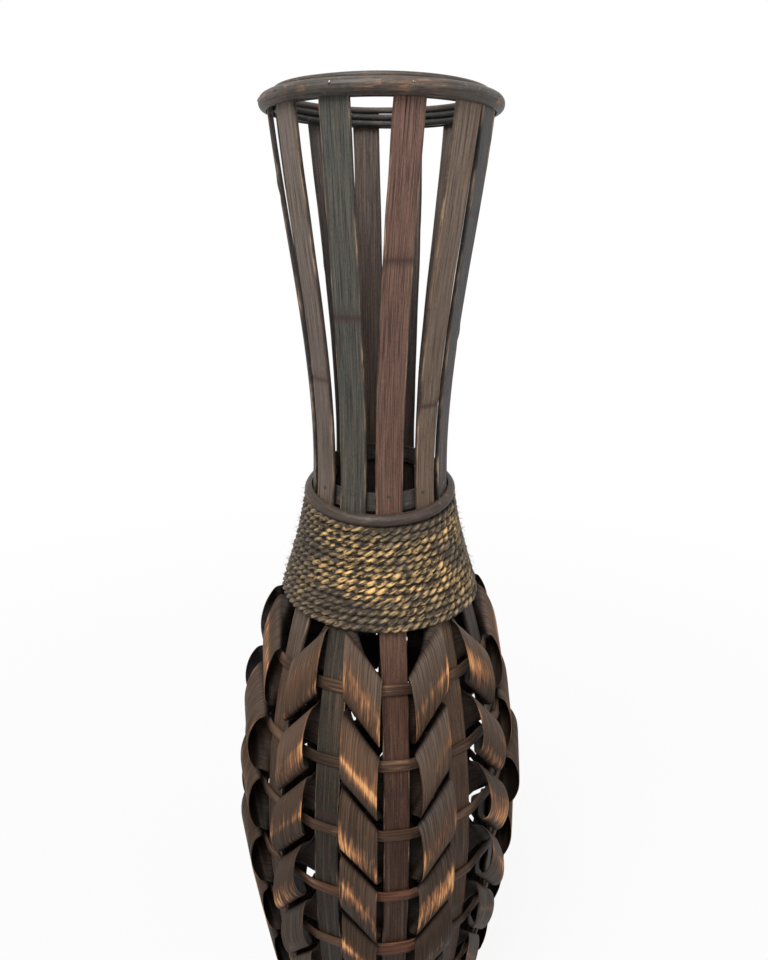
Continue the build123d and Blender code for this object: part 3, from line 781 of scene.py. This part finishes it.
def ribbonEdges(number):
    # the ribbon's two edge curves all the way round, behind each slat and once round the weaver in each gap,
    # with the place down each curl's front from 0 to 1 and how strongly the curl is rubbed and highlit
    look = curlLook
    row = rowHeights[number - 1]
    draw = np.random.default_rng(look["formSeed"] + number)
    skewDraw = np.random.default_rng(look["skewSeed"] + number)
    rubDraw = np.random.default_rng(look["rubSeed"] + number)
    sizes = [look[key] for key in ("unevenBulge", "unevenLift", "unevenSide", "unevenSkew")]
    most = look["unevenMost"]
    rear = slatLook["count"] // 2
    nearEdges, farEdges, phases, rubsAndHighlights = [], [], [], []
    for gap in range(rear, rear + slatLook["count"]):
        middle = slatLook["firstAzimuth"] + slatStep * (gap + 0.5)
        falling = gap % 2 == 1
        hand = -1 if falling else 1
        uneven = np.clip(np.append(draw.normal(0, 1, 3), skewDraw.normal()), -most, most)
        half = look["width"] / 2 * (look["rearShare"] if math.cos(middle) < look["rearFrom"] else 1)
        change = uneven * sizes
        change[0] += look["rowBulge"][number - 1]
        edge, phase = curlEdge(look, half, change)
        far = (edge * (-1, -1, -1, 1))[::-1]
        span = edge * (slatStep / 2 * float(radiusAt(row)), 1, 1, 1)
        stride = np.stack([span[:, 0] + span[:, 1], span[:, 2], span[:, 3]], -1)
        knots = lengthAlong(stride)
        knots = (knots + (knots[-1] - knots[::-1])) / 2
        dense = np.linspace(0, knots[-1], look["samples"])
        smooth = [np.stack([splineThrough(knots, column, dense) for column in line.T], -1)
                  for line in (edge, far)]
        nearEdge, farEdge = (curlPlaces(row, middle, hand, spots) for spots in smooth)
        mix = np.interp(dense, knots, phase)
        if not falling:
            nearEdge, farEdge, mix = nearEdge[::-1], farEdge[::-1], mix[::-1]
        first = 1 if nearEdges else 0
        nearEdges.append(nearEdge[first:])
        farEdges.append(farEdge[first:])
        phases.append(mix[first:])
        rubAndHighlight = (rubDraw.uniform(look["rubAndHighlightLeast"], look["rubAndHighlightMost"]), rubDraw.uniform(-1, 1) * look["rubAndHighlightShift"],
               rubDraw.uniform(-1, 1) * look["rubAndHighlightTilt"])
        rubsAndHighlights.append(np.tile(rubAndHighlight, (len(mix) - first, 1)))
    return [np.concatenate(part) for part in (nearEdges, farEdges, phases, rubsAndHighlights)]


def makeRibbon(number):
    # strip between its two edge curves, with half its thickness to each side and rounded edges
    look = curlLook
    nearEdge, farEdge, phase, rubAndHighlight = ribbonEdges(number)
    share = np.linspace(0, 1, look["columns"])[None, :, None]
    sheet = nearEdge[:, None] * (1 - share) + farEdge[:, None] * share
    normal = unit(np.cross(np.gradient(sheet, axis=0), np.gradient(sheet, axis=1)))
    rim = unit(farEdge - nearEdge) * look["thickness"] * look["rimShare"]
    thin = 1 - look["thinEdge"] * np.abs(2 * share - 1) ** look["thinPower"]
    lift = normal * look["thickness"] / 2 * np.sqrt(thin)
    points = np.concatenate([sheet + lift, (farEdge + rim)[:, None], (sheet - lift)[:, ::-1],
                             (nearEdge - rim)[:, None]], 1)
    length = lengthAlong(sheet[:, look["columns"] // 2])
    columns = np.linspace(0, 2 * look["width"], points.shape[1] + 1)
    grain = grainMap(columns, length[:, None] + 5.3 * number)
    outNormal = np.concatenate([normal, normal[:, -1:], -normal[:, ::-1], normal[:, :1]], 1)
    facing = (outNormal[..., :2] * unit(points[..., :2])).sum(-1)
    outer = np.clip(facing * look["outerRate"], 0, 1)
    front = phase[:, None] * np.ones((1, points.shape[1]))
    mean, swing = look["streak"]
    streaky = mean + swing * wobble(length * 9, look["streakSeed"] + number, high=4)[:, None]
    streaky = np.clip(streaky, *look["streakLimits"])
    edgeWear = np.zeros(points.shape[1])
    edgeWear[[0, look["columns"] - 1]] = look["faceEdgeRub"]
    edgeWear[[look["columns"], -1]] = look["rimRub"]
    first, last = look["rubbedFront"]
    inFront = (front > first) & (front < last)
    side = np.concatenate([2 * share[0, :, 0] - 1, [1], 1 - 2 * share[0, :, 0], [-1]])
    # rubbed wear and painted highlight along the crest of each curl
    crestRubAndHighlight = np.interp(front + rubAndHighlight[:, 1:2], look["rubAndHighlightPlaces"], look["rubAndHighlightShares"])
    crestRubAndHighlight = crestRubAndHighlight * rubAndHighlight[:, :1] * (1 + rubAndHighlight[:, 2:] * side)
    mean, swing = look["edgePatch"]
    patchy = mean + swing * wobble(length * 8, look["edgeSeed"] + number, high=5)[:, None]
    edgeWear = edgeWear * np.clip(patchy, 0, 1)
    # wear holds the rubbed wear and the painted crest highlight, less on lower rows as painted light falloff
    wear = np.clip((crestRubAndHighlight * streaky + edgeWear) * outer * inFront * look["rowRubAndHighlight"][number - 1], 0, 1)
    # greyer top as painted sheen, darker low end as painted shade under the fold
    tone = ramp3(front, look["topShade"], look["middleShade"], look["lowShade"])
    # painted shade on the ends tucked behind a slat
    tucked = look["tuckedShade"]
    tone = tone * np.interp(front, look["tuckedPlaces"], (tucked, 1, 1, tucked))[..., None]
    mean, swing = look["stainPatch"]
    patchy = mean + swing * wobble(length * 5, look["stainSeed"] + number, high=3)[:, None, None]
    # painted light by row: brighter on the top rows, darker lower down
    tone = tone * patchy * look["rowPaintedLight"][number - 1]
    tint = look["tint"] * wobble(length * 6, look["tintSeed"] + number, high=3)[:, None]
    tone = tone * np.stack([1 + tint, 1 + 0 * tint, 1 - tint], -1)
    # painted shade where the strip faces in
    lit = np.clip(look["litMean"] + look["litRate"] * facing, 0, 1)[..., None]
    tone = tone * (look["innerShade"] + (1 - look["innerShade"]) * lit)
    return makeGrid(f"curlRibbon{number}", points, grain, "curl_ribbon", [f"curl_ribbon_{number}"],
                    materials["ribbon"], wear=wear, shade=opaque(tone))


for number in range(1, rowLook["count"] + 1):
    makeRibbon(number)
print("curl ribbons made:", rowLook["count"])

ropeLook = {
    "diameter": 4.8 * mm, "gap": 0.5 * mm, "clearance": 0.3 * mm, "lay": 13.0 * mm, "perLay": 12, "sides": 8,
    "strandShare": 0.33, "offsetShare": 0.24, "flattened": 1.2, "uneven": 0.3 * mm,
    "neckTurns": 13.0, "baseTurns": 15.5,
    "sag": 0.4 * mm, "unevenStrand": 0.10, "strandSeed": 400,
    # how far out a strand has to stand to count as its crown
    "crownFrom": 0.60, "crownRun": 0.36, "crownPower": 1.4,
    # share of brushed gold and painted highlight from the first turn to the last, most at one azimuth
    "goldHighlightFirst": 2.0, "goldHighlightLast": 0.45, "goldHighlightLeast": 0.12, "goldHighlightFocus": 4,
    "goldHighlightAzimuth": math.radians(14),
    "coreOut": 1.0 * mm, "coreUp": 2.75 * mm, "coreStep": 3,
    # stray fibres: the least share of their length, their spread to the side, lead, root, curl and taper
    "frays": 900, "frayLength": 5 * mm, "frayRadius": 0.17 * mm, "fraySteps": 6, "frayLeast": 0.35,
    "fraySide": 0.5, "frayLead": 0.35, "frayRoot": 0.42, "frayCurl": 0.45, "frayTaper": 0.85,
    "fraySides": 3, "frayCrown": 0.6, "frayGold": 0.3,
    "neckDroop": (7.5 * mm, 2.0 * mm), "baseDroop": (0.0, 0.0), "neckLead": 0.8, "baseLead": 0.0,
}


def ropePath(name, turns, upwards):
    # spiral up or down the slats at one rope's pitch, a rope's radius clear of their corners
    look = ropeLook
    low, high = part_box(name)
    half = look["diameter"] / 2
    startHeight = low.z + half if upwards > 0 else high.z - half
    pitch = look["diameter"] + look["gap"]
    reach = float(radiusAt((low.z + high.z) / 2)) + half
    count = int(turns * fullTurn * reach / look["lay"] * look["perLay"])
    turn = np.linspace(-look[name.split("_")[0] + "Lead"], turns, count)
    arc = np.interp(startHeight, outlineHeight, outlineArc) + upwards * pitch * turn
    height = np.interp(arc, outlineArc, outlineHeight)
    azimuth = turn * fullTurn + math.pi / 2
    first, last = look[name.split("_")[0] + "Droop"]
    height = height - (first + (last - first) * turn / turns) * np.cos(azimuth)
    lean = leanAt(height)
    away = (azimuth - slatLook["firstAzimuth"] + slatStep / 2) % slatStep - slatStep / 2
    sag = look["sag"] * (1 - np.cos(away / slatStep * fullTurn)) / 2
    corner = np.hypot(radiusAt(height), slatLook["width"] / 2)
    radius = corner + (look["clearance"] + half) / np.cos(lean) - sag
    fade = np.clip(turn, 0, 1) * np.clip(turns - turn, 0, 1)
    height = height + wobble(turn, len(name), low=0.7, high=5) * look["uneven"] * fade
    path = aroundAxis(radius, azimuth, height)
    along = unit(np.gradient(path, axis=0))
    outward = aroundAxis(np.cos(lean), azimuth, -np.sin(lean))
    outward = unit(outward - along * np.einsum("ij,ij->i", outward, along)[:, None])
    return path, along, outward, np.cross(outward, along), lengthAlong(path), azimuth


def makeRopeStrand(name, pieceName, turns, upwards, phase, replaced):
    # round strand twisted about the rope's middle line, once round in each lay
    look = ropeLook
    path, _, outward, across, length, azimuth = ropePath(name, turns, upwards)
    twist = (length / look["lay"] + phase) * fullTurn
    seed = look["strandSeed"] + int(phase * 10) + len(name)
    uneven = 1 + look["unevenStrand"] * wobble(length * 9, seed, high=6)
    offset = look["diameter"] * look["offsetShare"]
    middle = path + offset * (np.cos(twist)[:, None] * outward + np.sin(twist)[:, None] * across)
    angle = np.linspace(0, fullTurn, look["sides"], endpoint=False)[None, :, None]
    thick = look["diameter"] * look["strandShare"] * uneven[:, None, None]
    points = middle[:, None] + thick * (np.cos(angle) * outward[:, None]
                                    + np.sin(angle) * look["flattened"] * across[:, None])
    columns = np.linspace(0, fullTurn * look["diameter"] * look["strandShare"], look["sides"] + 1)
    grain = grainMap(columns, length[:, None] + 11 * phase)
    reach = offset * np.cos(twist)[:, None] + thick[..., 0] * np.cos(angle[..., 0])
    crown = np.clip(0.5 + 0.5 * reach / (offset + thick[..., 0]), 0, 1)
    crown = np.clip((crown - look["crownFrom"]) / look["crownRun"], 0, 1) ** look["crownPower"]
    # painted highlight: gold gathered round one azimuth near the front
    sunny = 0.5 + 0.5 * np.cos(azimuth - look["goldHighlightAzimuth"])
    fade = look["goldHighlightFirst"] + (look["goldHighlightLast"] - look["goldHighlightFirst"]) * length / length[-1]
    gold = np.clip(look["goldHighlightLeast"] + fade * sunny ** look["goldHighlightFocus"], 0, 1)[:, None]
    return makeGrid(pieceName, points, grain, "twisted_rope", replaced, materials["rope"],
                    crown=crown, gold=gold)


def makeRopeCore(name, pieceName, turns, upwards):
    # flat dark yarn along the rope's middle line, an ellipse that fills the creases between the turns
    look = ropeLook
    thinned = (part[::look["coreStep"]] for part in ropePath(name, turns, upwards))
    path, _, outward, across, length, _ = thinned
    angle = np.linspace(0, fullTurn, look["sides"], endpoint=False)[None, :, None]
    points = path[:, None] + (look["coreOut"] * np.cos(angle) * outward[:, None]
                              + look["coreUp"] * np.sin(angle) * across[:, None])
    columns = np.linspace(0, fullTurn * look["coreUp"], look["sides"] + 1)
    grain = grainMap(columns, length[:, None])
    plain = np.zeros(points.shape[:2])
    return makeGrid(pieceName, points, grain, "twisted_rope", [], materials["rope"],
                    crown=plain, gold=plain)


def makeFrays(name, pieceName, turns, upwards, seed):
    # stray fibres: thin three-sided tapers that leave the rope and curl back
    look = ropeLook
    path, along, outward, across, _, _ = ropePath(name, turns, upwards)
    draw = np.random.default_rng(seed)
    spots = draw.integers(0, len(path), look["frays"])
    steps = np.linspace(0, 1, look["fraySteps"])[None, :, None]
    size = draw.uniform(look["frayLeast"], 1.0, (look["frays"], 1, 1)) * look["frayLength"]
    swing = draw.normal(0, 1, (look["frays"], 2))
    along, across, outward = along[spots], across[spots], outward[spots]
    lead = (along * np.sign(swing[:, :1]) + across * swing[:, 1:] * look["fraySide"]
            + outward * look["frayLead"])
    base = path[spots] + outward * look["diameter"] * look["frayRoot"]
    line = base[:, None] + lead[:, None] * size * steps
    line = line + outward[:, None] * size * look["frayCurl"] * steps ** 2
    angle = np.linspace(0, fullTurn, look["fraySides"], endpoint=False)
    ring = np.cos(angle)[:, None] * outward[:, None] + np.sin(angle)[:, None] * across[:, None]
    thick = look["frayRadius"] * (1 - look["frayTaper"] * steps[..., None])
    points = line[:, :, None] + ring[:, None] * thick
    tone = np.broadcast_to(draw.uniform(0, 1, (look["frays"], 1, 1)), points.shape[:3])
    grain = grainMap(np.arange(look["fraySides"] + 1) * mm, np.arange(look["fraySteps"])[:, None] * mm)
    return makeGrid(pieceName, points, grain, "twisted_rope", [], materials["rope"],
                    crown=look["frayCrown"] * tone, gold=look["frayGold"] * tone)


for label, upwards, seed in (("neck", -1, 21), ("base", 1, 22)):
    node = f"{label}_rope"
    turns = ropeLook[f"{label}Turns"]
    makeRopeStrand(node, f"{label}RopeStrandA", turns, upwards, 0.0, [node])
    makeRopeStrand(node, f"{label}RopeStrandB", turns, upwards, 0.5, [])
    makeRopeCore(node, f"{label}RopeCore", turns, upwards)
    makeFrays(node, f"{label}RopeFrays", turns, upwards, seed)
print("ropes made")

nailLook = {"radius": 1.15 * mm, "rise": 0.22 * mm, "sunk": 0.8 * mm, "up": 2.0 * mm, "sides": 14}


def makeRimNails():
    # low domes seated on the rim ring's round face, one over each slat
    look, hoop = nailLook, hoopLook
    low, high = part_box("rim_outer_ring")
    middle = (low.z + high.z) / 2
    lean = float(leanAt(middle))
    bow = math.atan2(2 * hoop["caneDepth"] / hoop["rimCaneHeight"], 1) * 2
    arcRadius = hoop["rimCaneHeight"] / 2 / math.sin(bow)
    tip = math.asin(look["up"] / arcRadius)
    flat = math.hypot(float(radiusAt(middle)), slatLook["width"] / 2) + hoop["gap"]
    out = arcRadius * (math.cos(tip) - math.cos(bow))
    radius = flat + out * math.cos(lean) + look["up"] * math.sin(lean)
    height = middle + look["up"] * math.cos(lean) - out * math.sin(lean)
    slope = tip - lean
    azimuth = slatLook["firstAzimuth"] + slatStep * np.arange(slatLook["count"])
    azimuth = azimuth + np.radians(slatLook["headLean"])
    outward = aroundAxis(math.cos(slope), azimuth, math.sin(slope))
    sideways = np.stack([np.cos(azimuth), np.sin(azimuth), 0 * azimuth], -1)
    upward = np.cross(outward, sideways)
    place = aroundAxis(radius, azimuth, height)
    crown = look["rise"]
    profile = np.array([(0.9, -look["sunk"]), (1, 0), (0.93, 0.6 * crown), (0.6, 0.92 * crown),
                        (0.05, crown)])
    turn = np.linspace(0, fullTurn, look["sides"], endpoint=False)
    ring = np.cos(turn)[None, :, None] * sideways[:, None] + np.sin(turn)[None, :, None] * upward[:, None]
    points = (place[:, None, None] + profile[None, :, :1, None] * look["radius"] * ring[:, None]
              + profile[None, :, 1:, None] * outward[:, None, None])
    grain = grainMap(np.linspace(0, 3 * mm, look["sides"] + 1), np.arange(len(profile))[:, None] * mm)
    return makeGrid("rimNailHeads", points, grain, "nail_steel", ["rim_nails"], materials["nail"])


makeRimNails()
for name, key in (("waist_nails", "nail"), ("base_nails", "nail"), ("base_board", "board")):
    nodes[name].data.materials.clear()
    nodes[name].data.materials.append(materials[key])

stageLook = {
    "floorSize": 8.0, "floorColor": (0.6, 0.6, 0.6), "floorSpeck": 1.02,
    "cameraWhite": 0.90, "fadeStart": 0.25, "fadeEnd": 1.4,
    "ambient": 0.27, "keyPower": 64.0, "keySize": 1.1, "keyPlace": (-0.45, -1.1, 2.2),
    "fillPower": 12.0, "fillSize": 1.6, "fillPlace": (1.5, -1.0, 1.2), "aim": (0, 0, 0.5),
}


def seenWhite(tree):
    # one for rays from the camera, reflections and what shows through, none for rays of light
    rays = addNode(tree, "LightPath", {})
    seen = compute(tree, "MAXIMUM", rays.outputs["Is Camera Ray"], rays.outputs["Is Glossy Ray"])
    return compute(tree, "MAXIMUM", seen, rays.outputs["Is Transmission Ray"])


def makeStage():
    # square floor and even room, both white to the camera and to reflections, and two square lamps
    look = stageLook
    half = look["floorSize"] / 2
    mesh = bpy.data.meshes.new("floor")
    corners = [(-half, -half, 0), (half, -half, 0), (half, half, 0), (-half, half, 0)]
    mesh.from_pydata(corners, [], [(0, 1, 2, 3)])
    material, tree, shader = newMaterial("paleFloor", 0.9)
    speck = noise(tree, objectCoords(tree), 30.0, 3.0)
    grey = look["floorColor"]
    pale = tuple(channel * look["floorSpeck"] for channel in grey)
    connect(tree, shader, Base_Color=ramp(tree, speck, (0.3, grey), (0.7, pale)))
    seen = seenWhite(tree)
    white = addNode(tree, "Emission", {"Color": (1, 1, 1, 1), "Strength": 1.0})
    away = addNode(tree, "VectorMath", {0: objectCoords(tree)}, operation="LENGTH").outputs["Value"]
    near, far = look["fadeStart"], look["fadeEnd"]
    share = addNode(tree, "MapRange", {"Value": away, "From Min": near, "From Max": far,
                                       "To Min": look["cameraWhite"], "To Max": 1.0}).outputs["Result"]
    blend = addNode(tree, "MixShader", {0: compute(tree, "MULTIPLY", seen, share)})
    tree.links.new(shader.outputs["BSDF"], blend.inputs[1])
    tree.links.new(white.outputs["Emission"], blend.inputs[2])
    tree.links.new(blend.outputs["Shader"], tree.nodes["Material Output"].inputs["Surface"])
    mesh.materials.append(material)
    floor = bpy.data.objects.new("floor", mesh)
    bpy.context.scene.collection.objects.link(floor)
    world = bpy.data.worlds.new("softRoom")
    bpy.context.scene.world = world
    world.use_nodes = True
    sky = world.node_tree
    background = sky.nodes["Background"]
    seen = seenWhite(sky)
    level = addNode(sky, "MapRange", {"Value": seen, "To Min": look["ambient"], "To Max": 1.0})
    sky.links.new(level.outputs["Result"], background.inputs["Strength"])
    background.inputs["Color"].default_value = (1, 1, 1, 1)
    for label in ("key", "fill"):
        lamp = bpy.data.lights.new(f"{label}Lamp", "AREA")
        lamp.energy, lamp.size = look[f"{label}Power"], look[f"{label}Size"]
        holder = bpy.data.objects.new(f"{label}Lamp", lamp)
        place = np.array(look[f"{label}Place"])
        aim = np.array(look["aim"]) - place
        holder.location = place
        holder.rotation_euler = (math.acos(-aim[2] / np.linalg.norm(aim)), 0, math.atan2(-aim[0], aim[1]))
        bpy.context.scene.collection.objects.link(holder)


makeStage()

cameraLook = {
    "focalPixels": 750, "imageHeight": 960, "sensor": 36.0, "distance": 0.501, "height": 0.6846,
    "pitchDown": math.radians(18.6), "sideways": 2.9 * mm, "roll": math.radians(0.37), "nearest": 0.01,
}


def makeCamera():
    # pinhole in front of the vase: lens length from its focal length in pixels, pitched down and rolled
    look = cameraLook
    lens = bpy.data.cameras.new("camera")
    lens.sensor_width = look["sensor"]
    lens.lens = look["focalPixels"] / look["imageHeight"] * look["sensor"]
    lens.clip_start = look["nearest"]
    camera = bpy.data.objects.new("camera", lens)
    camera.location = (look["sideways"], -look["distance"], look["height"])
    tilt = Matrix.Rotation(math.pi / 2 - look["pitchDown"], 3, "X") @ Matrix.Rotation(look["roll"], 3, "Z")
    camera.rotation_euler = tilt.to_euler()
    bpy.context.scene.collection.objects.link(camera)
    bpy.context.scene.camera = camera


makeCamera()
bpy.context.scene.view_settings.view_transform = "Standard"

print("scene ready")
